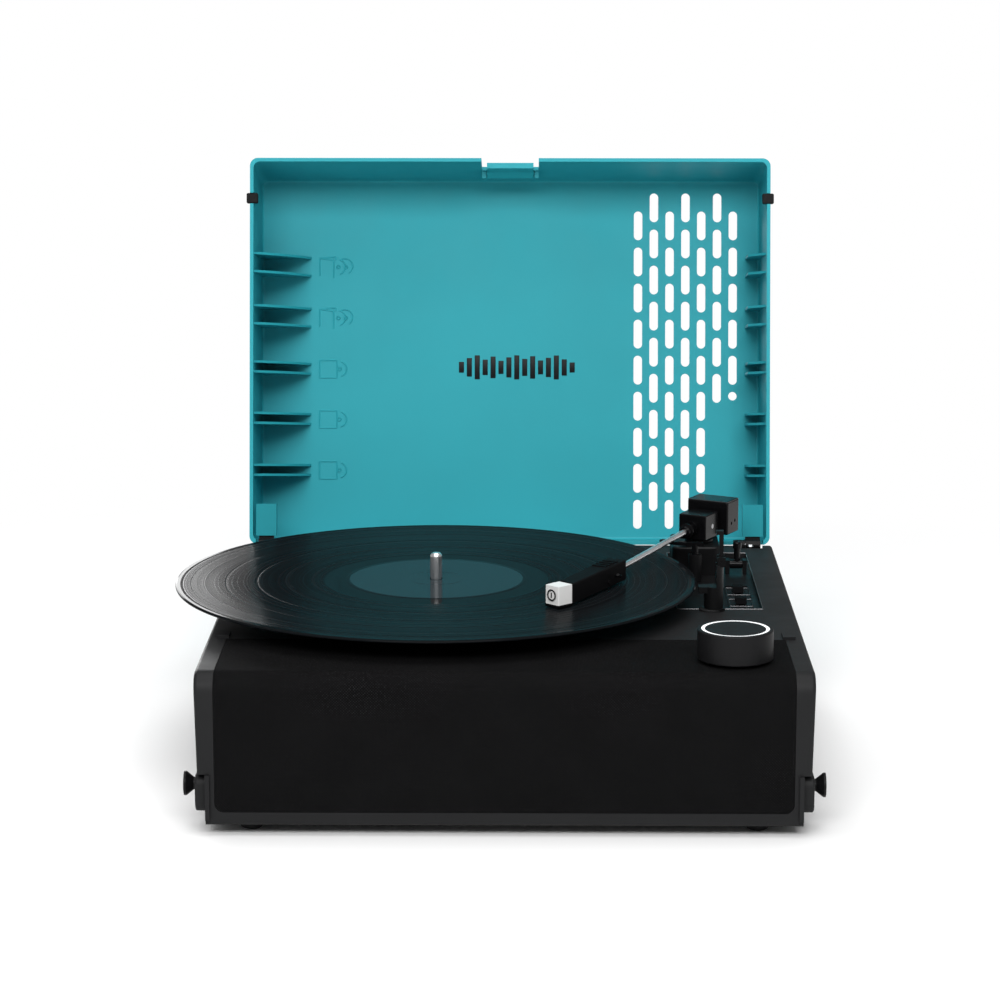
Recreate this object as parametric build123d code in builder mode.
"""Suitcase record player: speaker front, open lift-off lid and a long-playing record on the platter.

Millimetres. The origin is the centre of the case's footprint, on the surface that it stands on.
+X is the player's right, -Y its speaker front and +Z up.
"""
from build123d import *
import math
import os

# ---- driving dimensions -------------------------------------------------------------------
CASE_W, CASE_D = 330.0, 324.0
CASE_FOOT_W = 326.4                  # the sides lean in towards the bottom
FOOT_H, COVER_T, WALL = 6.2, 2.8, 2.5
DECK_Z = 89.0                        # top of the deck
DECK_EDGE_Y = -83.0                  # where the deck ends and the speaker front begins
BROW_R = 10.8                        # rounded edge between the top and the front
OPENING_W, OPENING_Z = 309.0, 13.2   # speaker opening: width, and height of its lower edge
CLOTH_T, PANEL_T, PANEL_GAP = 0.8, 3.0, 0.2

SPINDLE_X, SPINDLE_Y = -41.2, 11.0
RECORD_R, RECORD_T, RECORD_TOP = 150.8, 1.8, 102.0
MAT_T, PLATTER_R = 1.5, 85.0
DRIVE_RING_R, PULLEY_R, MOTOR_OFFSET = 55.0, 6.0, 51.0

LID_LEAN = 11.0                      # degrees past upright when the lid stands open
LID_W, LID_L, LID_DEPTH = 326.8, 242.5, 56.0
LID_DRAFT_X, LID_DRAFT_V, LID_T, LID_CORNER_R = 1.2, 7.4, 2.2, 5.0
HINGE_Y, HINGE_Z, KNUCKLE_R, PIN_R = 162.4, 89.3, 3.2, 1.5
HINGE_X = 149.6                      # middle of each hinge

ARM_X, ARM_Y, ARM_PIVOT_H = 116.0, 106.0, 25.0
STYLUS_X, STYLUS_Y = 29.5, -59.0
HEAD_TURN = 16.9                     # degrees between the arm and its cartridge
TUBE_START, TUBE_END, TUBE_R = 10.4, 113.0, 1.8
REST_X, REST_Y, REST_R = 118.6, -12.0, 5.5   # arm rest post
PLATE_X, PLATE_Y, PLATE_W, PLATE_L = 122.5, 65.0, 49.0, 150.0
PLATE_TOP, PLATE_T = DECK_Z - WALL, 3.0
LEVER_Y, LEVER_Z = 95.0, 92.0
SWITCH_X = 136.0
SPEED_Y, AUTO_STOP_Y = 44.0, 15.0

KNOB_X, KNOB_Y, KNOB_R, KNOB_TOP = 123.7, -130.0, 20.5, 107.1
SPEAKER_X, SPEAKER_Z, SPEAKER_R = 85.0, 44.5, 33.0
LUG_Y, LUG_Z, BUTTON_Z = -147.0, 22.3, 25.0
RUN = 0.05                           # running clearance of a shaft in its hole
GAP = 0.3                            # gap between faces that move past each other

# ---- planes -------------------------------------------------------------------------------
LEAN = math.radians(LID_LEAN)
# The lid's own plane: its free edge lies in it, -y runs away from the hinge and +z into the lid.
LID = Plane(origin=(0, HINGE_Y, HINGE_Z), x_dir=(1, 0, 0), z_dir=(0, math.cos(LEAN), -math.sin(LEAN)))
ARM_ANGLE = math.degrees(math.atan2(STYLUS_Y - ARM_Y, STYLUS_X - ARM_X))
ARM_LENGTH = math.hypot(STYLUS_X - ARM_X, STYLUS_Y - ARM_Y)
# The arm's plane lies on the deck: +x runs from the pivot to the stylus.
ARM = Plane(origin=(ARM_X, ARM_Y, DECK_Z), x_dir=Vector(1, 0, 0).rotate(Axis.Z, ARM_ANGLE), z_dir=(0, 0, 1))
HEAD = Plane(
    origin=(STYLUS_X, STYLUS_Y, DECK_Z),
    x_dir=Vector(1, 0, 0).rotate(Axis.Z, ARM_ANGLE - HEAD_TURN),
    z_dir=(0, 0, 1),
)
MOTOR_X, MOTOR_Y = SPINDLE_X - MOTOR_OFFSET, SPINDLE_Y + MOTOR_OFFSET
SIDES = (-1, 1)
LOW = (Align.CENTER, Align.CENTER, Align.MIN)

os.makedirs("parts", exist_ok=True)


def save(builder, name):
    """Label a finished piece and write it as a STEP file."""
    builder.part.label = name
    export_step(builder.part, f"parts/{name}.step")


def at(x, y, z):
    """A horizontal plane at a point."""
    return Plane.XY.offset(z).move(Location((x, y, 0)))


# ---- case ---------------------------------------------------------------------------------
def case_section(inset, top):
    """Front view of the case at its back: narrower at the bottom, inset by a wall."""
    z_low = FOOT_H + COVER_T
    with BuildSketch(Plane.XZ.offset(-CASE_D / 2 + inset)) as section:
        with BuildLine():
            Polyline(
                (-CASE_FOOT_W / 2 + inset, z_low),
                (CASE_FOOT_W / 2 - inset, z_low),
                (CASE_W / 2 - inset, top),
                (-CASE_W / 2 + inset, top),
                close=True,
            )
        make_face()
    return section.sketch


def front_edge(part):
    """The long edge between the top and the front."""
    return part.edges().filter_by(Axis.X).group_by(Axis.Z)[-1].sort_by(Axis.Y)[0]


BACK_Y = CASE_D / 2
FRONT_Y = -CASE_D / 2
SCREW_SPOTS = [(side * 157.0, y) for side in SIDES for y in (-70.0, 40.0, 150.0)]

with BuildPart() as case_core:
    extrude(case_section(WALL, DECK_Z - WALL), amount=CASE_D - 2 * WALL)
    fillet(front_edge(case_core), BROW_R - WALL)

LUG_RECESS_X, LUG_RECESS_Z = 159.4, 34.0
SIDE_EDGE_R = 2.0
LEDGE_X, LEDGE_W, LEDGE_D, LEDGE_H = 156.5, 7.0, 12.0, 1.6
JACKS_X, JACKS_W, JACKS_Z, JACKS_H = -40.0, 116.0, 42.0, 26.0

with BuildPart() as top_case:
    extrude(case_section(0, DECK_Z), amount=CASE_D)
    fillet(front_edge(top_case), BROW_R)
    for end in (0, -1):
        side_edges = top_case.faces().sort_by(Axis.X)[end].edges()
        fillet(side_edges.group_by(Axis.Z)[1:], SIDE_EDGE_R)
    add(case_core.part, mode=Mode.SUBTRACT)
    # the speaker opening takes the front wall and the top as far as the deck's edge
    with BuildSketch(Plane.XZ.offset(-FRONT_Y + 10)):
        with Locations((0, OPENING_Z)):
            opening = Rectangle(OPENING_W, 100, align=(Align.CENTER, Align.MIN))
        fillet(opening.vertices().group_by(Axis.Y)[0], 5)
    extrude(amount=-(DECK_EDGE_Y - FRONT_Y + 10), mode=Mode.SUBTRACT)
    # the side pockets of the strap lugs stay closed towards the inside
    for side in SIDES:
        with Locations((side * 160, LUG_Y + 2, FOOT_H + COVER_T)):
            Box(6, 38, LUG_RECESS_Z - FOOT_H - COVER_T, align=LOW)
        with Locations((side * (LUG_RECESS_X + 10), LUG_Y, FOOT_H)):
            Box(20, 34, LUG_RECESS_Z - FOOT_H, align=LOW, mode=Mode.SUBTRACT)
    # openings in the deck: arm plate, platter bearing, motor shaft
    with Locations((PLATE_X, PLATE_Y, DECK_Z - 10)):
        Box(PLATE_W, PLATE_L, 20, align=LOW, mode=Mode.SUBTRACT)
    with Locations((SPINDLE_X, SPINDLE_Y, DECK_Z)):
        Cylinder(9.2, 20, mode=Mode.SUBTRACT)
    with Locations((MOTOR_X, MOTOR_Y, DECK_Z)):
        Cylinder(3.0, 20, mode=Mode.SUBTRACT)
    with Locations((REST_X, REST_Y, DECK_Z)):
        Cylinder(REST_R + PANEL_GAP, 20, mode=Mode.SUBTRACT)
    # ledges at the front corners of the deck
    for side in SIDES:
        with Locations((side * LEDGE_X, DECK_EDGE_Y + LEDGE_D / 2, DECK_Z)):
            Box(LEDGE_W, LEDGE_D, LEDGE_H, align=LOW)
    # pockets of the hinges, closed below by their own floor
    for side in SIDES:
        with Locations((side * HINGE_X, BACK_Y - 3.6, DECK_Z - 8)):
            Box(22, 7.2, 8, align=LOW)
        with Locations((side * HINGE_X, BACK_Y - 3.8, DECK_Z - 5)):
            Box(18.4, 8, 10, align=LOW, mode=Mode.SUBTRACT)
    with Locations((JACKS_X, BACK_Y, JACKS_Z)):
        Box(JACKS_W, 12, JACKS_H, mode=Mode.SUBTRACT)
    with Locations([(x, y, FOOT_H + COVER_T) for x, y in SCREW_SPOTS]):
        Cylinder(3.5, DECK_Z - WALL - FOOT_H - COVER_T, align=LOW)
        Cylinder(1.25, 14, align=LOW, mode=Mode.SUBTRACT)
save(top_case, "top_case")

with BuildPart() as bottom_cover:
    with BuildSketch(Plane.XY.offset(FOOT_H)):
        RectangleRounded(CASE_FOOT_W, CASE_D, 3)
    extrude(amount=COVER_T)
    chamfer(bottom_cover.edges().group_by(Axis.Z)[0], 0.8)
    for side in SIDES:
        with Locations((side * (LUG_RECESS_X + 10), LUG_Y, FOOT_H - 1)):
            Box(20, 34, 10, align=LOW, mode=Mode.SUBTRACT)
    with Locations([Location((x, y, FOOT_H), (180, 0, 0)) for x, y in SCREW_SPOTS]):
        CounterBoreHole(radius=1.6, counter_bore_radius=2.8, counter_bore_depth=1.6, depth=COVER_T)
save(bottom_cover, "bottom_cover")

with BuildPart() as case_screws:
    for x, y in SCREW_SPOTS:
        with Locations((x, y, FOOT_H + 0.4)):
            Cylinder(2.6, 1.2, align=LOW)
            Cylinder(1.2, 12, align=LOW)
save(case_screws, "case_screws")

FOOT_R, FOOT_ROUND = 6.8, 4.0
FOOT_SPOTS = [(sx * 136.0, sy * 146.0) for sx in SIDES for sy in SIDES]
with BuildPart() as feet:
    with Locations([(x, y, 0) for x, y in FOOT_SPOTS]):
        Cylinder(FOOT_R, FOOT_H, align=LOW)
    fillet(feet.edges().group_by(Axis.Z)[0], FOOT_ROUND)
save(feet, "feet")


# ---- speaker front ------------------------------------------------------------------------
def front_shell_section(inset, thickness):
    """Side view of a bent sheet that follows the front and the top of the case."""
    y_out, z_out, r_out = FRONT_Y + inset, DECK_Z - inset, BROW_R - inset
    z_low, y_end = OPENING_Z + PANEL_GAP, DECK_EDGE_Y - PANEL_GAP
    r_in = r_out - thickness
    y_arc, z_arc = y_out + r_out, z_out - r_out
    with BuildSketch(Plane.YZ) as section:
        with BuildLine():
            Line((y_out, z_low), (y_out, z_arc))
            CenterArc((y_arc, z_arc), r_out, 90, 90)
            Line((y_arc, z_out), (y_end, z_out))
            Line((y_end, z_out), (y_end, z_out - thickness))
            Line((y_end, z_out - thickness), (y_arc, z_out - thickness))
            CenterArc((y_arc, z_arc), r_in, 90, 90)
            Line((y_out + thickness, z_arc), (y_out + thickness, z_low))
            Line((y_out + thickness, z_low), (y_out, z_low))
        make_face()
    return section.sketch


def lower_corners(part):
    """The short edges through the sheet at its two lower corners."""
    return part.edges().filter_by(Axis.Y).group_by(Axis.Z)[0]


SHEET_W = OPENING_W - 2 * PANEL_GAP
with BuildPart() as grille_panel:
    extrude(front_shell_section(CLOTH_T, PANEL_T), amount=SHEET_W / 2, both=True)
    fillet(lower_corners(grille_panel), 4.8)
    with Locations([Location((side * SPEAKER_X, FRONT_Y, SPEAKER_Z), (90, 0, 0)) for side in SIDES]):
        Cylinder(27, 12, mode=Mode.SUBTRACT)
    with Locations((KNOB_X, KNOB_Y, DECK_Z)):
        Cylinder(3.6, 12, mode=Mode.SUBTRACT)
save(grille_panel, "grille_panel")

with BuildPart() as grille_cloth:
    extrude(front_shell_section(0, CLOTH_T), amount=SHEET_W / 2, both=True)
    fillet(lower_corners(grille_cloth), 4.8)
    with Locations((KNOB_X, KNOB_Y, DECK_Z)):
        Cylinder(4.2, 12, mode=Mode.SUBTRACT)
save(grille_cloth, "grille_cloth")

PANEL_BACK_Y = FRONT_Y + CLOTH_T + PANEL_T
SPEAKER_PLANES = [
    Plane(origin=(side * SPEAKER_X, PANEL_BACK_Y, SPEAKER_Z), x_dir=(1, 0, 0), z_dir=(0, 1, 0))
    for side in SIDES
]


def turned(points):
    """Turn a closed outline of (radius, height) points round each speaker's axis."""
    for plane in SPEAKER_PLANES:
        profile_plane = Plane(origin=plane.origin, x_dir=(1, 0, 0), z_dir=(0, 0, 1))
        with BuildSketch(profile_plane) as profile:
            with BuildLine():
                Polyline(*points, close=True)
            make_face()
        revolve(profile.sketch, axis=Axis(plane.origin, (0, 1, 0)))


with BuildPart() as speaker_baskets:
    turned([(27, 0), (SPEAKER_R, 0), (SPEAKER_R, 3), (30, 3), (17, 20), (17, 22), (9, 22), (9, 20), (15, 19)])
save(speaker_baskets, "speaker_baskets")

with BuildPart() as speaker_cones:
    turned([(25.6, 0.4), (25.6, 1.2), (8, 14), (0, 14), (0, 13), (7.4, 13), (24, 0.4)])
save(speaker_cones, "speaker_cones")

with BuildPart() as speaker_magnets:
    turned([(0, 22), (20, 22), (20, 30), (17, 32), (0, 32)])
save(speaker_magnets, "speaker_magnets")

# ---- inside the case ----------------------------------------------------------------------
COVER_TOP = FOOT_H + COVER_T
with BuildPart() as battery_pack:
    with Locations((-60, 105, COVER_TOP)):
        Box(82, 42, 21, align=LOW)
    fillet(battery_pack.edges().filter_by(Axis.X), 8)
save(battery_pack, "battery_pack")

with BuildPart() as main_board:
    with Locations((60, 60, COVER_TOP + 8)):
        Box(110, 74, 1.6, align=LOW)
    with Locations([(60 + sx * 50, 60 + sy * 32, COVER_TOP) for sx in SIDES for sy in SIDES]):
        Cylinder(3, 8.4, align=LOW)
    with Locations((40, 70, COVER_TOP + 9)):
        Box(16, 16, 2.4, align=LOW)
    with Locations([(x, 40, COVER_TOP + 9) for x in (70, 84, 98)]):
        Cylinder(4, 11, align=LOW)
save(main_board, "main_board")

JACKS_PLATE_Y = BACK_Y - WALL
with BuildPart() as jack_panel:
    with Locations((JACKS_X, JACKS_PLATE_Y - 1.2, JACKS_Z)):
        Box(JACKS_W + 8, 2.4, JACKS_H + 8)
    with Locations([Location((JACKS_X + dx, JACKS_PLATE_Y, JACKS_Z), (90, 0, 0)) for dx in (-40, -18)]):
        Cylinder(3.2, 12, mode=Mode.SUBTRACT)
    with Locations([Location((JACKS_X + dx, JACKS_PLATE_Y, JACKS_Z), (90, 0, 0)) for dx in (6, 24, 44)]):
        Cylinder(3.0, 12, mode=Mode.SUBTRACT)
save(jack_panel, "jack_panel")


def jack_plane(dx, y):
    """Plane of a rear jack: +z points out of the back of the case."""
    return Plane(origin=(JACKS_X + dx, y, JACKS_Z), x_dir=(-1, 0, 0), z_dir=(0, 1, 0))


RCA_BORE_R, RCA_BORE_L = 1.6, 7.0
with BuildPart() as line_out_jacks:
    for dx in (-40, -18):
        with BuildSketch(jack_plane(dx, JACKS_PLATE_Y)):
            Circle(4.15)
            Circle(3.0, mode=Mode.SUBTRACT)
        extrude(amount=8)
        with BuildSketch(jack_plane(dx, JACKS_PLATE_Y - 12)):
            Circle(3.1)
        extrude(amount=12.5)
        with BuildSketch(jack_plane(dx, JACKS_PLATE_Y + 0.5)):
            Circle(RCA_BORE_R)
        extrude(amount=-RCA_BORE_L, mode=Mode.SUBTRACT)
save(line_out_jacks, "line_out_jacks")

AUX_BORE_R = 1.8
with BuildPart() as audio_jacks:
    for dx in (6, 24):
        with BuildSketch(jack_plane(dx, JACKS_PLATE_Y - 14)):
            Circle(2.95)
            Circle(AUX_BORE_R, mode=Mode.SUBTRACT)
        extrude(amount=15)
        with BuildSketch(jack_plane(dx, JACKS_PLATE_Y - 14)):
            Circle(2.95)
        extrude(amount=1)
save(audio_jacks, "audio_jacks")

with BuildPart() as power_jack:
    with BuildSketch(jack_plane(44, JACKS_PLATE_Y - 12)):
        Circle(2.95)
        Circle(2.7, mode=Mode.SUBTRACT)
    extrude(amount=12.6)
    with BuildSketch(jack_plane(44, JACKS_PLATE_Y - 12)):
        Circle(2.95)
    extrude(amount=1.5)
    with BuildSketch(jack_plane(44, JACKS_PLATE_Y - 12)):
        Circle(0.8)
    extrude(amount=11)
save(power_jack, "power_jack")

# ---- platter drive ------------------------------------------------------------------------
PLATTER_TOP = RECORD_TOP - RECORD_T - MAT_T
PLATTER_LOW = DECK_Z + 1.5
BEARING_TOP = DECK_Z + 0.9
JOURNAL_R, SPINDLE_R, WAIST_R, TIP_R = 3.0, 3.55, 3.2, 3.5
TIP_LOW = RECORD_TOP + 0.6

with BuildPart() as bearing_sleeve:
    with BuildSketch(at(SPINDLE_X, SPINDLE_Y, BEARING_TOP - 32)):
        Circle(9)
        Circle(JOURNAL_R + RUN, mode=Mode.SUBTRACT)
    extrude(amount=32)
    with BuildSketch(at(SPINDLE_X, SPINDLE_Y, DECK_Z - WALL - 3)):
        Circle(15)
        Circle(8, mode=Mode.SUBTRACT)
    extrude(amount=3)
    with BuildSketch(at(SPINDLE_X, SPINDLE_Y, BEARING_TOP - 34)):
        Circle(9)
    extrude(amount=2)
save(bearing_sleeve, "bearing_sleeve")

with BuildPart() as platter:
    with BuildSketch(at(SPINDLE_X, SPINDLE_Y, PLATTER_LOW)):
        Circle(PLATTER_R)
        Circle(PLATTER_R - 2.5, mode=Mode.SUBTRACT)
        Circle(DRIVE_RING_R)
        Circle(DRIVE_RING_R - 2.5, mode=Mode.SUBTRACT)
        Circle(8)
    extrude(amount=PLATTER_TOP - PLATTER_LOW - 1)
    with BuildSketch(at(SPINDLE_X, SPINDLE_Y, PLATTER_TOP - 2.2)):
        Circle(PLATTER_R)
    extrude(amount=2.2)
    chamfer(platter.edges().group_by(Axis.Z)[-1], 0.6)
    with BuildSketch(at(SPINDLE_X, SPINDLE_Y, PLATTER_LOW)):
        Circle(SPINDLE_R)
    extrude(amount=10, mode=Mode.SUBTRACT)
save(platter, "platter")

with BuildPart() as platter_mat:
    with BuildSketch(at(SPINDLE_X, SPINDLE_Y, PLATTER_TOP)):
        Circle(PLATTER_R - 1.5)
        Circle(SPINDLE_R + GAP, mode=Mode.SUBTRACT)
    extrude(amount=MAT_T)
save(platter_mat, "platter_mat")

SPINDLE_TOP = RECORD_TOP + 15.4
with BuildPart() as spindle:
    with BuildSketch(at(SPINDLE_X, SPINDLE_Y, BEARING_TOP - 31.6)):
        Circle(JOURNAL_R)
    extrude(amount=31.6 + 0.6)
    with BuildSketch(at(SPINDLE_X, SPINDLE_Y, PLATTER_LOW)):
        Circle(SPINDLE_R)
    extrude(amount=PLATTER_TOP - PLATTER_LOW)
    with BuildSketch(at(SPINDLE_X, SPINDLE_Y, PLATTER_TOP)):
        Circle(WAIST_R)
    extrude(amount=TIP_LOW - PLATTER_TOP)
    with BuildSketch(at(SPINDLE_X, SPINDLE_Y, TIP_LOW)):
        Circle(TIP_R)
    extrude(amount=SPINDLE_TOP - TIP_LOW)
    fillet(spindle.edges().group_by(Axis.Z)[-1], 2.4)
save(spindle, "spindle")

with BuildPart() as record:
    with BuildSketch(at(SPINDLE_X, SPINDLE_Y, RECORD_TOP - RECORD_T)):
        Circle(RECORD_R)
        Circle(3.62, mode=Mode.SUBTRACT)
    extrude(amount=RECORD_T)
    chamfer(record.edges().filter_by(GeomType.CIRCLE).sort_by(SortBy.LENGTH)[-2:], 0.5)
save(record, "record")

with BuildPart() as motor_bracket:
    with BuildSketch(at(MOTOR_X, MOTOR_Y, DECK_Z - WALL - 2)):
        RectangleRounded(54, 38, 4)
        Circle(4, mode=Mode.SUBTRACT)
        with Locations((-22, 0), (22, 0)):
            Circle(1.6, mode=Mode.SUBTRACT)
    extrude(amount=2)
save(motor_bracket, "motor_bracket")

with BuildPart() as motor:
    with BuildSketch(at(MOTOR_X, MOTOR_Y, DECK_Z - WALL - 26)):
        Circle(16)
    extrude(amount=24)
    fillet(motor.edges().group_by(Axis.Z)[0], 2)
    with BuildSketch(at(MOTOR_X, MOTOR_Y, DECK_Z - WALL - 14)):
        Circle(1 + RUN)
    extrude(amount=20, mode=Mode.SUBTRACT)
save(motor, "motor")

with BuildPart() as motor_pulley:
    with BuildSketch(at(MOTOR_X, MOTOR_Y, DECK_Z - WALL - 13)):
        Circle(1)
    extrude(amount=20)
    with BuildSketch(at(MOTOR_X, MOTOR_Y, DECK_Z + 1.6)):
        Circle(PULLEY_R)
    extrude(amount=5)
save(motor_pulley, "motor_pulley")


def belt_outline(extra):
    """Belt loop seen from above: the hull of the drive ring and the motor pulley."""
    with BuildSketch(at(SPINDLE_X, SPINDLE_Y, DECK_Z + 2.2)) as outline:
        Circle(DRIVE_RING_R + extra)
        with Locations((-MOTOR_OFFSET, MOTOR_OFFSET)):
            Circle(PULLEY_R + extra)
        make_hull()
    return outline.sketch


with BuildPart() as drive_belt:
    extrude(belt_outline(GAP + 0.7), amount=3.6)
    extrude(belt_outline(GAP), amount=3.6, mode=Mode.SUBTRACT)
save(drive_belt, "drive_belt")

# ---- arm plate, rest and cueing -----------------------------------------------------------
SLOT_L = 12.0
with BuildPart() as tonearm_plate:
    with BuildSketch(at(PLATE_X, PLATE_Y, PLATE_TOP - PLATE_T)):
        RectangleRounded(PLATE_W + 4, PLATE_L + 4, 3)
        with Locations((SWITCH_X - PLATE_X, SPEED_Y - PLATE_Y), (SWITCH_X - PLATE_X, AUTO_STOP_Y - PLATE_Y)):
            SlotOverall(SLOT_L, 3.4, rotation=90, mode=Mode.SUBTRACT)
        with Locations((ARM_X - PLATE_X, ARM_Y - PLATE_Y)):
            Circle(7, mode=Mode.SUBTRACT)
    extrude(amount=PLATE_T)
    # a fine frame round the two switches
    with BuildSketch(at(SWITCH_X, (SPEED_Y + AUTO_STOP_Y) / 2, PLATE_TOP)):
        RectangleRounded(15, 58, 2)
        RectangleRounded(13.4, 56.4, 1.4, mode=Mode.SUBTRACT)
    extrude(amount=0.6)
    for x in (132.8, 143.2):
        with Locations((x, LEVER_Y, PLATE_TOP)):
            Box(2.4, 7, LEVER_Z + 3 - PLATE_TOP, align=LOW)
    with Locations(Location((138, LEVER_Y, LEVER_Z), (0, 90, 0))):
        Cylinder(1.5 + RUN, 20, mode=Mode.SUBTRACT)
save(tonearm_plate, "tonearm_plate")

PEDESTAL_TOP = 15.0
STEM_R = 4.0
with BuildPart() as tonearm_pedestal:
    with BuildSketch(Plane.XY.offset(PLATE_TOP)):
        with Locations((113.6, 108)):
            RectangleRounded(29, 40, 4)
    extrude(amount=DECK_Z + PEDESTAL_TOP - PLATE_TOP)
    fillet(tonearm_pedestal.edges().group_by(Axis.Z)[-1], 1.2)
    with BuildSketch(ARM.offset(PLATE_TOP - DECK_Z)):
        Circle(STEM_R + RUN)
    extrude(amount=40, mode=Mode.SUBTRACT)
save(tonearm_pedestal, "tonearm_pedestal")

REST_FLOOR = DECK_Z + 14.2
with BuildPart() as armrest_post:
    with BuildSketch(at(REST_X, REST_Y, PLATE_TOP)):
        Circle(REST_R)
    extrude(amount=DECK_Z + 27 - PLATE_TOP)
    with Locations((REST_X - 5.5, REST_Y, REST_FLOOR)):
        Box(13.4, 14, 40, align=LOW, mode=Mode.SUBTRACT)
    with Locations((REST_X - 3.9, REST_Y, REST_FLOOR - 3.6)):
        Box(9.8, 8, 3.6, align=LOW)
    with BuildSketch(at(REST_X, REST_Y, DECK_Z)):
        Circle(6.6)
    extrude(amount=1.6)
    # fork of the clip at the top of the prong
    with Locations((REST_X + 4.0, REST_Y, DECK_Z + 26)):
        Box(4.6, 9, 5.6, align=LOW)
        Box(8, 4.4, 8, align=LOW, mode=Mode.SUBTRACT)
    with Locations(Location((REST_X + 4.0, REST_Y, DECK_Z + 29.6), (90, 0, 0))):
        Cylinder(1.0 + RUN, 20, mode=Mode.SUBTRACT)
save(armrest_post, "armrest_post")

with BuildPart() as arm_clip:
    with Locations((REST_X + 4.0, REST_Y, DECK_Z + 29.6)):
        Box(2.4, 3.8, 17, align=(Align.CENTER, Align.CENTER, Align.MIN))
    with Locations(Location((REST_X + 4.0, REST_Y, DECK_Z + 29.6), (90, 0, 0))):
        Cylinder(1.9, 3.8)
        Cylinder(1.0, 8.6)
    with Locations((REST_X + 2.6, REST_Y, DECK_Z + 44.4)):
        Box(3, 3.8, 2.2, align=LOW)
save(arm_clip, "arm_clip")

CUE_R, CUE_STEM = 34.0, (112.0, 72.4)
CUE_TOP = DECK_Z + 21.3
CUE_SPAN = [math.radians(ARM_ANGLE + turn) for turn in (-17, 6, 29)]
with BuildPart() as cue_housing:
    with BuildSketch(at(*CUE_STEM, PLATE_TOP)):
        Circle(4)
        Circle(2 + RUN, mode=Mode.SUBTRACT)
    extrude(amount=DECK_Z + 14 - PLATE_TOP)
save(cue_housing, "cue_housing")

with BuildPart() as cue_lift:
    with BuildSketch(at(ARM_X, ARM_Y, CUE_TOP - 2)):
        Circle(CUE_R + 1.6)
        Circle(CUE_R - 1.6, mode=Mode.SUBTRACT)
        with BuildLine():
            Polyline(
                (0, 0),
                *[(50 * math.cos(a), 50 * math.sin(a)) for a in CUE_SPAN],
                close=True,
            )
        make_face(mode=Mode.INTERSECT)
    extrude(amount=2)
    with BuildSketch(at(*CUE_STEM, DECK_Z + 0.6)):
        Circle(2)
    extrude(amount=CUE_TOP - 1 - DECK_Z - 0.6)
save(cue_lift, "cue_lift")

with BuildPart() as cue_lever:
    with Locations(Location((138, LEVER_Y, LEVER_Z), (0, 90, 0))):
        Cylinder(1.5, 12.4)
        Cylinder(2.6, 7.4)
    with Locations((138.6, LEVER_Y, LEVER_Z)):
        Cylinder(1.9, 11, align=LOW)
    with Locations((138.6, LEVER_Y, LEVER_Z + 10)):
        Cylinder(2.6, 4, align=LOW)
    fillet(cue_lever.edges().group_by(Axis.Z)[-1], 1)
save(cue_lever, "cue_lever")


def slide_switch(y, name):
    """Housing of a slide switch, under the arm plate."""
    with BuildPart() as housing:
        with Locations((SWITCH_X, y, PLATE_TOP - PLATE_T - 6)):
            Box(9, 18, 6, align=LOW)
            Box(3.6, SLOT_L, 12, align=LOW, mode=Mode.SUBTRACT)
        with Locations((SWITCH_X, y, PLATE_TOP - PLATE_T - 6)):
            Box(9, 18, 1, align=LOW)
    save(housing, name)


def switch_slider(y, name):
    """Slider of a slide switch: a stem in the slot and a ribbed cap on it."""
    with BuildPart() as slider:
        with Locations((SWITCH_X, y, PLATE_TOP - PLATE_T - 4)):
            Box(2.6, 4, PLATE_T + 5, align=LOW)
        with Locations((SWITCH_X, y, PLATE_TOP + GAP)):
            Box(6.4, 7, 3.2, align=LOW)
        with Locations([(SWITCH_X, y + dy, PLATE_TOP + GAP + 3.2) for dy in (-2.4, 0, 2.4)]):
            Box(6.4, 0.9, 1.2, align=(Align.CENTER, Align.CENTER, Align.CENTER))
    save(slider, name)


slide_switch(SPEED_Y, "speed_switch")
slide_switch(AUTO_STOP_Y, "auto_stop_switch")
switch_slider(SPEED_Y, "speed_slider")
switch_slider(AUTO_STOP_Y, "auto_stop_slider")

# ---- tonearm ------------------------------------------------------------------------------
TONGUE_W = 6.0
with BuildPart(ARM) as arm_yoke:
    with BuildSketch(ARM.offset(4)):
        Circle(STEM_R)
    extrude(amount=PEDESTAL_TOP + 1 - 4)
    with BuildSketch(ARM.offset(PEDESTAL_TOP + GAP)):
        Circle(8.5)
    extrude(amount=1.5)
    with Locations((0, 0, PEDESTAL_TOP + 1)):
        Box(7, TONGUE_W, ARM_PIVOT_H + 3.4 - PEDESTAL_TOP - 1, align=LOW)
    with Locations(Location((0, 0, ARM_PIVOT_H), (90, 0, 0))):
        Cylinder(PIN_R + RUN, 20, mode=Mode.SUBTRACT)
save(arm_yoke, "arm_yoke")

with BuildPart(ARM) as arm_block:
    with Locations((0.5, 0, 17.6)):
        Box(19, 18, 15.4, align=LOW)
    fillet(arm_block.edges(), 0.8)
    with Locations((0, 0, 10)):
        Box(11, TONGUE_W + 2 * GAP, 19.4, align=LOW, mode=Mode.SUBTRACT)
    with Locations(Location((0, 0, ARM_PIVOT_H), (90, 0, 0))):
        Cylinder(PIN_R, 30, mode=Mode.SUBTRACT)
save(arm_block, "arm_block")

with BuildPart(ARM) as arm_pivot_pin:
    with Locations(Location((0, 0, ARM_PIVOT_H), (90, 0, 0))):
        Cylinder(PIN_R, 18)
save(arm_pivot_pin, "arm_pivot_pin")

TUBE_FROM = ARM.from_local_coords(Vector(TUBE_START, 0, 25.0))
TUBE_TO = ARM.from_local_coords(Vector(TUBE_END, 0, 19.4))
TUBE = Plane(origin=TUBE_FROM, z_dir=TUBE_TO - TUBE_FROM)
TUBE_L = (TUBE_TO - TUBE_FROM).length

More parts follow.
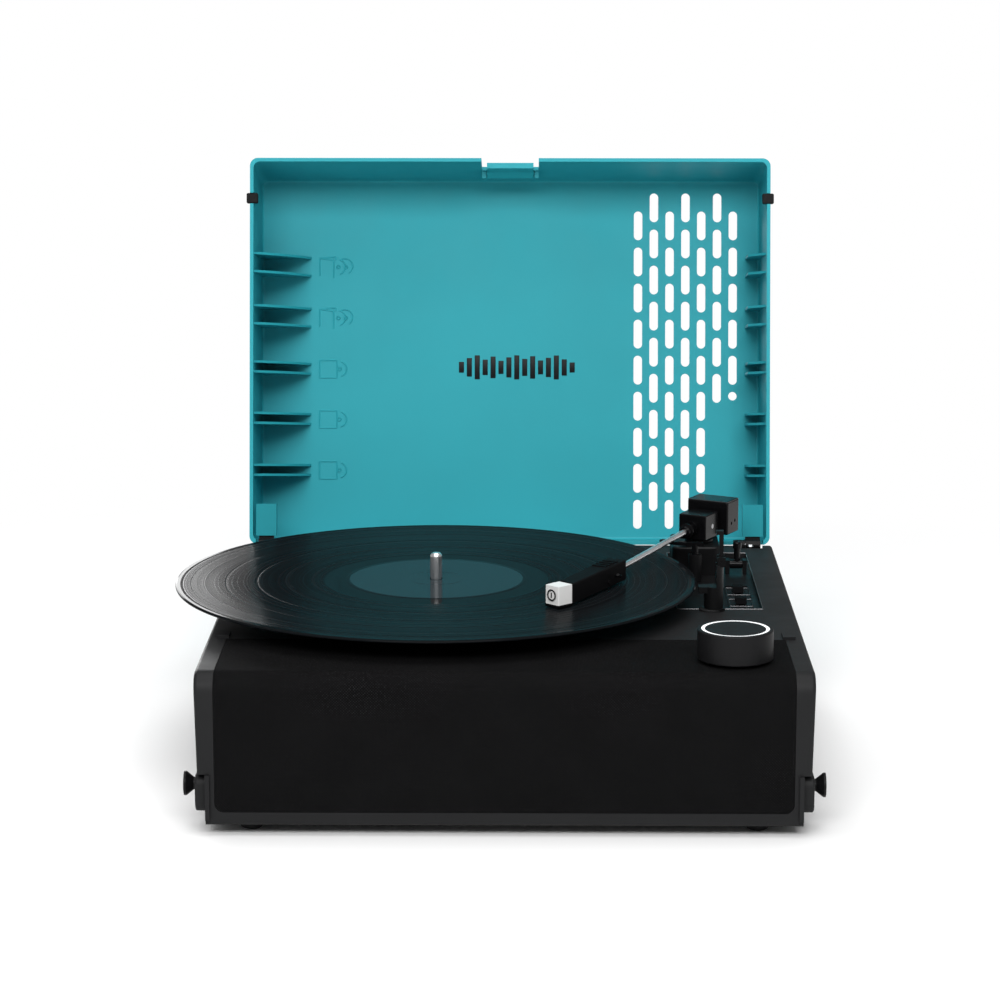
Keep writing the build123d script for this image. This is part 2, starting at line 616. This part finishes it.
with BuildPart() as arm_ferrule:
    with BuildSketch(TUBE):
        Circle(4.2)
    extrude(amount=2.5)
    with BuildSketch(TUBE):
        Circle(3.1)
    extrude(amount=6)
    with BuildSketch(TUBE):
        Circle(TUBE_R)
    extrude(amount=10, mode=Mode.SUBTRACT)
save(arm_ferrule, "arm_ferrule")

with BuildPart() as arm_tube:
    with BuildSketch(TUBE):
        Circle(TUBE_R)
    extrude(amount=TUBE_L + 4)
    with BuildSketch(TUBE):
        Circle(TUBE_R - 0.6)
    extrude(amount=TUBE_L + 4, mode=Mode.SUBTRACT)
save(arm_tube, "arm_tube")

HEAD_LOW, HEAD_TOP = 14.6, 26.0
CART_BACK = 5.7


def head_point(x, y):
    """A point of the cartridge's frame, in the arm's frame."""
    turn = math.radians(-HEAD_TURN)
    return (ARM_LENGTH + x * math.cos(turn) - y * math.sin(turn), x * math.sin(turn) + y * math.cos(turn))


with BuildPart(ARM) as headshell:
    with BuildSketch(ARM.offset(HEAD_LOW)):
        with BuildLine():
            Polyline(
                (TUBE_END, -6.2),
                head_point(-CART_BACK, -5.6),
                head_point(-CART_BACK, 5.6),
                (TUBE_END, 6.2),
                close=True,
            )
        make_face()
    extrude(amount=HEAD_TOP - HEAD_LOW)
    fillet(headshell.edges().filter_by(Axis.Z), 1.2)
    fillet(headshell.edges().group_by(Axis.Z)[-1], 1.0)
    with Locations([(TUBE_END + 9 + 4.5 * i, 0, HEAD_TOP) for i in range(4)]):
        Box(2, 9, 1.2)
    with BuildSketch(TUBE):
        Circle(TUBE_R)
    extrude(amount=TUBE_L + 4, mode=Mode.SUBTRACT)
    with Locations(Location((TUBE_END + 24, 6, HEAD_LOW + 3), (90, 0, 0))):
        Cylinder(1.1, 3)
save(headshell, "headshell")

with BuildPart(HEAD) as cartridge:
    with Locations((0, 0, HEAD_LOW)):
        Box(11, 10.4, 11, align=LOW)
    chamfer(cartridge.edges().group_by(Axis.Z)[0].sort_by(SortBy.DISTANCE)[:1], 1)
    fillet(cartridge.edges().filter_by(Axis.Z), 0.5)
    with Locations(Location((5.5, 0, HEAD_LOW + 5.6), (0, 90, 0))):
        Cylinder(3.2, 0.8, mode=Mode.SUBTRACT)
        Cylinder(2.3, 0.8)
save(cartridge, "cartridge")

with BuildPart(HEAD) as stylus:
    with Locations((0, 0, HEAD_LOW - 0.5)):
        Box(6, 3, 0.5, align=LOW)
    with Locations((0, 0, RECORD_TOP - DECK_Z + GAP)):
        Cone(0.2, 0.9, HEAD_LOW - 0.4 - (RECORD_TOP - DECK_Z + GAP), align=LOW)
save(stylus, "stylus")

with BuildPart(ARM) as counterweight:
    with Locations((-20.5, 0, 17.4)):
        Box(17, 27, 20.6, align=LOW)
    fillet(counterweight.edges(), 1.2)
    with Locations(Location((-10.5, 0, ARM_PIVOT_H + 2), (0, 90, 0))):
        Cylinder(4, 3)
    with Locations(Location((-18, 13.5, 24), (90, 0, 0)), Location((-23, 13.5, 25), (90, 0, 0))):
        Cylinder(1, 3, mode=Mode.SUBTRACT)
save(counterweight, "counterweight")

# ---- knob ---------------------------------------------------------------------------------
SHAFT_R, HUB_R = 3.0, 11.0
KNOB_LOW = DECK_Z + 1.7
with BuildPart() as knob_encoder:
    with Locations((KNOB_X, KNOB_Y, DECK_Z - CLOTH_T - PANEL_T - 7)):
        Box(13, 13, 7, align=LOW)
    with BuildSketch(at(KNOB_X, KNOB_Y, DECK_Z - CLOTH_T - PANEL_T)):
        Circle(3.5)
    extrude(amount=CLOTH_T + PANEL_T + 0.5)
    with BuildSketch(at(KNOB_X, KNOB_Y, DECK_Z)):
        Circle(SHAFT_R)
    extrude(amount=9)
save(knob_encoder, "knob_encoder")

with BuildPart() as knob_hub:
    with BuildSketch(at(KNOB_X, KNOB_Y, DECK_Z + 2)):
        Circle(HUB_R)
    extrude(amount=10)
    with BuildSketch(at(KNOB_X, KNOB_Y, DECK_Z + 2)):
        Circle(SHAFT_R + RUN)
    extrude(amount=8.6, mode=Mode.SUBTRACT)
save(knob_hub, "knob_hub")

RING_OUT, RING_IN = 18.4, 16.5
with BuildPart() as knob_shell:
    with BuildSketch(at(KNOB_X, KNOB_Y, KNOB_LOW)):
        Circle(KNOB_R)
    extrude(amount=KNOB_TOP - KNOB_LOW)
    fillet(knob_shell.edges().group_by(Axis.Z)[-1], 0.8)
    chamfer(knob_shell.edges().group_by(Axis.Z)[0], 0.6)
    with BuildSketch(at(KNOB_X, KNOB_Y, KNOB_LOW)):
        Circle(HUB_R + RUN)
    extrude(amount=DECK_Z + 12 + GAP - KNOB_LOW, mode=Mode.SUBTRACT)
    with BuildSketch(at(KNOB_X, KNOB_Y, KNOB_TOP)):
        Circle(RING_OUT)
    extrude(amount=-2, mode=Mode.SUBTRACT)
save(knob_shell, "knob_shell")

with BuildPart() as light_ring:
    with BuildSketch(at(KNOB_X, KNOB_Y, KNOB_TOP - 2)):
        Circle(RING_OUT)
        Circle(RING_IN, mode=Mode.SUBTRACT)
    extrude(amount=1.8)
save(light_ring, "light_ring")

with BuildPart() as knob_cap:
    with BuildSketch(at(KNOB_X, KNOB_Y, KNOB_TOP - 2)):
        Circle(RING_IN)
    extrude(amount=1.9)
    fillet(knob_cap.edges().group_by(Axis.Z)[-1], 0.4)
save(knob_cap, "knob_cap")


# ---- strap fixings ------------------------------------------------------------------------
def outward(side, x):
    """Plane facing outwards at one side of the case, centred on the strap button."""
    return Plane(origin=(side * x, LUG_Y, BUTTON_Z), x_dir=(0, side, 0), z_dir=(side, 0, 0))


LUG_T, BUTTON_L = 5.8, 5.6
with BuildPart() as strap_lugs:
    for side in SIDES:
        with BuildSketch(outward(side, LUG_RECESS_X)):
            with Locations((0, LUG_Z - BUTTON_Z)):
                RectangleRounded(26, 20.6, 6)
            Circle(2, mode=Mode.SUBTRACT)
        extrude(amount=LUG_T)
    for end in (0, -1):
        rim = strap_lugs.faces().sort_by(Axis.X)[end].outer_wire()
        fillet(rim.edges(), 1.2)
save(strap_lugs, "strap_lugs")

NECK_R, FLANGE_R = 3.4, 6.6
with BuildPart() as strap_buttons:
    for side in SIDES:
        with BuildSketch(outward(side, LUG_RECESS_X + LUG_T)):
            Circle(NECK_R)
        extrude(amount=1.6)
        with BuildSketch(outward(side, LUG_RECESS_X + LUG_T + 1.6)):
            Circle(NECK_R)
        with BuildSketch(outward(side, LUG_RECESS_X + LUG_T + BUTTON_L)):
            Circle(FLANGE_R)
        loft()
        with BuildSketch(outward(side, LUG_RECESS_X + LUG_T + BUTTON_L)):
            Circle(FLANGE_R)
        extrude(amount=1.2)
        with BuildSketch(outward(side, LUG_RECESS_X)):
            Circle(2)
        extrude(amount=LUG_T + 1)
save(strap_buttons, "strap_buttons")


# ---- hinges -------------------------------------------------------------------------------
BRACKET_W, LEAF_W = 7.2, 9.4


def hinge_plane(x):
    """Side view plane at x: local x is +Y and local y is +Z."""
    return Plane(origin=(x, HINGE_Y, HINGE_Z), x_dir=(0, 1, 0), z_dir=(1, 0, 0))


def inner_x(side):
    """Low x of the bracket, which is the hinge's inner half."""
    return HINGE_X - 9 if side > 0 else -(HINGE_X - 9) - BRACKET_W


def outer_x(side):
    """Low x of the leaf, which is the hinge's outer half."""
    return HINGE_X - 9 + BRACKET_W + GAP if side > 0 else -(HINGE_X - 9 + BRACKET_W + GAP) - LEAF_W


with BuildPart() as hinge_brackets:
    for side in SIDES:
        with BuildSketch(hinge_plane(inner_x(side))):
            Circle(KNUCKLE_R)
            with Locations((-0.4, -2.65)):
                Rectangle(7.2, 5.3)
            Circle(PIN_R, mode=Mode.SUBTRACT)
        extrude(amount=BRACKET_W)
save(hinge_brackets, "hinge_brackets")

with BuildPart() as hinge_pins:
    for side in SIDES:
        low_x = min(inner_x(side), outer_x(side))
        with BuildSketch(hinge_plane(low_x)):
            Circle(PIN_R)
        extrude(amount=BRACKET_W + GAP + LEAF_W)
save(hinge_pins, "hinge_pins")

BLADE_T, BLADE_L, BLADE_H = 2.0, 22.0, 3.2
with BuildPart() as hinge_leaves:
    for side in SIDES:
        with BuildSketch(hinge_plane(outer_x(side))):
            Circle(KNUCKLE_R)
            Circle(PIN_R + RUN, mode=Mode.SUBTRACT)
        extrude(amount=LEAF_W)
    for side in SIDES:
        with Locations(LID * Location((outer_x(side) + LEAF_W / 2, -0.5, BLADE_H))):
            Box(LEAF_W, BLADE_L, BLADE_T, align=(Align.CENTER, Align.MAX, Align.CENTER))
save(hinge_leaves, "hinge_leaves")


# ---- lid ----------------------------------------------------------------------------------
def lid_outline(depth, inset):
    """Outline of the lid at a depth behind its free edge, inset by a wall."""
    share = depth / LID_DEPTH
    width = LID_W - 2 * LID_DRAFT_X * share - 2 * inset
    length = LID_L - LID_DRAFT_V * share - 2 * inset
    with Locations((0, -inset - length / 2)):
        RectangleRounded(width, length, LID_CORNER_R - inset / 2)


def vent_slots():
    """Centres of the vent slots, as (x, distance from the hinge) pairs."""
    spots = []
    for column, count in enumerate((9, 9, 9, 9, 8, 6, 5)):
        first = 225.3 if column % 2 else 213.7
        for row in range(count):
            spots.append((82.2 + 10.17 * column, first - 23.25 * row - 9.3))
    return spots


SINGLE_GAP, DOUBLE_GAP = 6.3, 11.4
RIB_PAIRS = [(v, SINGLE_GAP) for v in (46.6, 79.4, 111.8)] + [(v, DOUBLE_GAP) for v in (144.7, 177.5)]
RIB_T = 1.5
LATCH_W, LATCH_X, LATCH_LOW, LATCH_PIVOT = 36.0, 14.7, 13.0, 29.0
LID_FLOOR = LID_DEPTH - LID_T
BUMPER_V = 217.3
PANEL_R = 4.0


def latch_v(depth):
    """Distance of the front wall's outer face from the hinge, at a depth."""
    return LID_L - LID_DRAFT_V * depth / LID_DEPTH


LATCH_AXIS_Y = -latch_v(LATCH_PIVOT) + 4.6


def rib_plane(v):
    """Plane across the lid at a distance from the hinge: local x is +X, local y is the depth."""
    return Plane(origin=LID.from_local_coords(Vector(0, -v, 0)), x_dir=(1, 0, 0), z_dir=-LID.y_dir)


with BuildPart() as lid_core:
    with BuildSketch(LID.offset(-1)):
        lid_outline(-1, LID_T)
    with BuildSketch(LID.offset(LID_FLOOR)):
        lid_outline(LID_FLOOR, LID_T)
    loft()
    fillet(lid_core.faces().sort_by(Axis(LID.origin, LID.z_dir))[-1].edges(), PANEL_R - LID_T)

with BuildPart() as lid_shell:
    with BuildSketch(LID):
        lid_outline(0, 0)
    with BuildSketch(LID.offset(LID_DEPTH)):
        lid_outline(LID_DEPTH, 0)
    loft()
    fillet(lid_shell.faces().sort_by(Axis(LID.origin, LID.z_dir))[-1].edges(), PANEL_R)
    add(lid_core.part, mode=Mode.SUBTRACT)
    # ribs that hold record sleeves: deep gussets at the left, shallow ones at the right
    for middle, gap in RIB_PAIRS:
        for v in (middle - gap / 2, middle + gap / 2):
            with BuildSketch(rib_plane(v)) as rib_sketch:
                with BuildLine():
                    wall_low = (-LID_W / 2 + 1.4, 4)
                    panel_end = (-128, LID_FLOOR + 0.8)
                    ThreePointArc(wall_low, (-141.5, 27.5), panel_end)
                    Line(panel_end, (-LID_W / 2 + 2.2, LID_FLOOR + 0.8))
                    Line((-LID_W / 2 + 2.2, LID_FLOOR + 0.8), wall_low)
                make_face()
                with BuildLine():
                    Polyline(
                        (LID_W / 2 - 1.4, 4),
                        (151.0, 24),
                        (151.0, LID_FLOOR + 0.8),
                        (LID_W / 2 - 2.2, LID_FLOOR + 0.8),
                        close=True,
                    )
                make_face()
            extrude(amount=RIB_T / 2, both=True)
    # vents through the panel
    with BuildSketch(LID.offset(LID_FLOOR - 2)):
        with Locations([(x, -v) for x, v in vent_slots()]):
            SlotOverall(18.6, 5.5, rotation=90)
        with Locations((82.2 + 10.17 * 6, -94.7)):
            Circle(2.75)
    extrude(amount=6, mode=Mode.SUBTRACT)
    # finger notch in the front wall, with ears for the latch
    with Locations(LID * Location((0, -LID_L, -1))):
        Box(LATCH_W, 16, 25, align=LOW, mode=Mode.SUBTRACT)
    for side in SIDES:
        with Locations(LID * Location((side * (LATCH_X + 2.0), LATCH_AXIS_Y - 1, LATCH_PIVOT))):
            Box(2.6, 5.4, 6)
    with Locations(LID * Location((0, LATCH_AXIS_Y, LATCH_PIVOT), (0, 90, 0))):
        Cylinder(1.0 + RUN, 60, mode=Mode.SUBTRACT)
    # shallow seats of the side bumpers
    with Locations([LID * Location((side * LID_W / 2, -BUMPER_V, 0)) for side in SIDES]):
        Box(10, 6.8, 2.6, mode=Mode.SUBTRACT)
    # notches in the hinge wall for the hinges
    for side in SIDES:
        with Locations(LID * Location((side * HINGE_X, 0, -1))):
            Box(19.6, 8, 8.2, align=LOW, mode=Mode.SUBTRACT)
save(lid_shell, "lid_shell")

LATCH_SIDE = Plane(origin=LID.from_local_coords(Vector(-LATCH_X, 0, 0)), x_dir=LID.y_dir, z_dir=(1, 0, 0))
with BuildPart(LID) as lid_latch:
    with BuildSketch(LATCH_SIDE):
        with BuildLine():
            Polyline(
                (-latch_v(LATCH_LOW), LATCH_LOW),
                (-latch_v(22.4), 22.4),
                (LATCH_AXIS_Y - 2.4, 23.6),
                (LATCH_AXIS_Y - 2.0, LATCH_PIVOT + 2),
                (LATCH_AXIS_Y + 1.8, LATCH_PIVOT + 2),
                (LATCH_AXIS_Y + 1.8, LATCH_PIVOT - 2),
                (-latch_v(21) + 4, 21),
                (-latch_v(LATCH_LOW) + 3.4, LATCH_LOW),
                close=True,
            )
        make_face()
    extrude(amount=2 * LATCH_X)
    with Locations(Location((0, LATCH_AXIS_Y, LATCH_PIVOT), (0, 90, 0))):
        Cylinder(1.0, 2 * LATCH_X + 6)
save(lid_latch, "lid_latch")

SOCKET_L = 20.0
with BuildPart(LID) as lid_sockets:
    for side in SIDES:
        socket_x = outer_x(side) + LEAF_W / 2
        with Locations((socket_x, -5.2, BLADE_H)):
            Box(LEAF_W + 3.4, SOCKET_L, BLADE_T + 3.4, align=(Align.CENTER, Align.MAX, Align.CENTER))
        with Locations((socket_x, -4, BLADE_H)):
            Box(LEAF_W + 2 * GAP, BLADE_L, BLADE_T + 2 * GAP,
                align=(Align.CENTER, Align.MAX, Align.CENTER), mode=Mode.SUBTRACT)
save(lid_sockets, "lid_sockets")

with BuildPart(LID) as lid_bumpers:
    with Locations([(side * (LID_W / 2 - 1.4), -BUMPER_V, 0.2) for side in SIDES]):
        Box(7.2, 6.5, 4.6, align=LOW)
    fillet(lid_bumpers.edges(), 1.0)
    for side in SIDES:
        with Locations((side * (LID_W / 2 - LID_T / 2 - 0.05), -BUMPER_V, 1.3)):
            Box(LID_T + 0.1, 9, 6, align=LOW, mode=Mode.SUBTRACT)
save(lid_bumpers, "lid_bumpers")

with BuildPart() as lid_catch:
    with Locations((0, DECK_EDGE_Y + 8, DECK_Z)):
        Box(24, 5, 8, align=LOW)
    fillet(lid_catch.edges().filter_by(Axis.Z), 1.5)
    chamfer(lid_catch.edges().group_by(Axis.Z)[-1], 0.8)
save(lid_catch, "lid_catch")
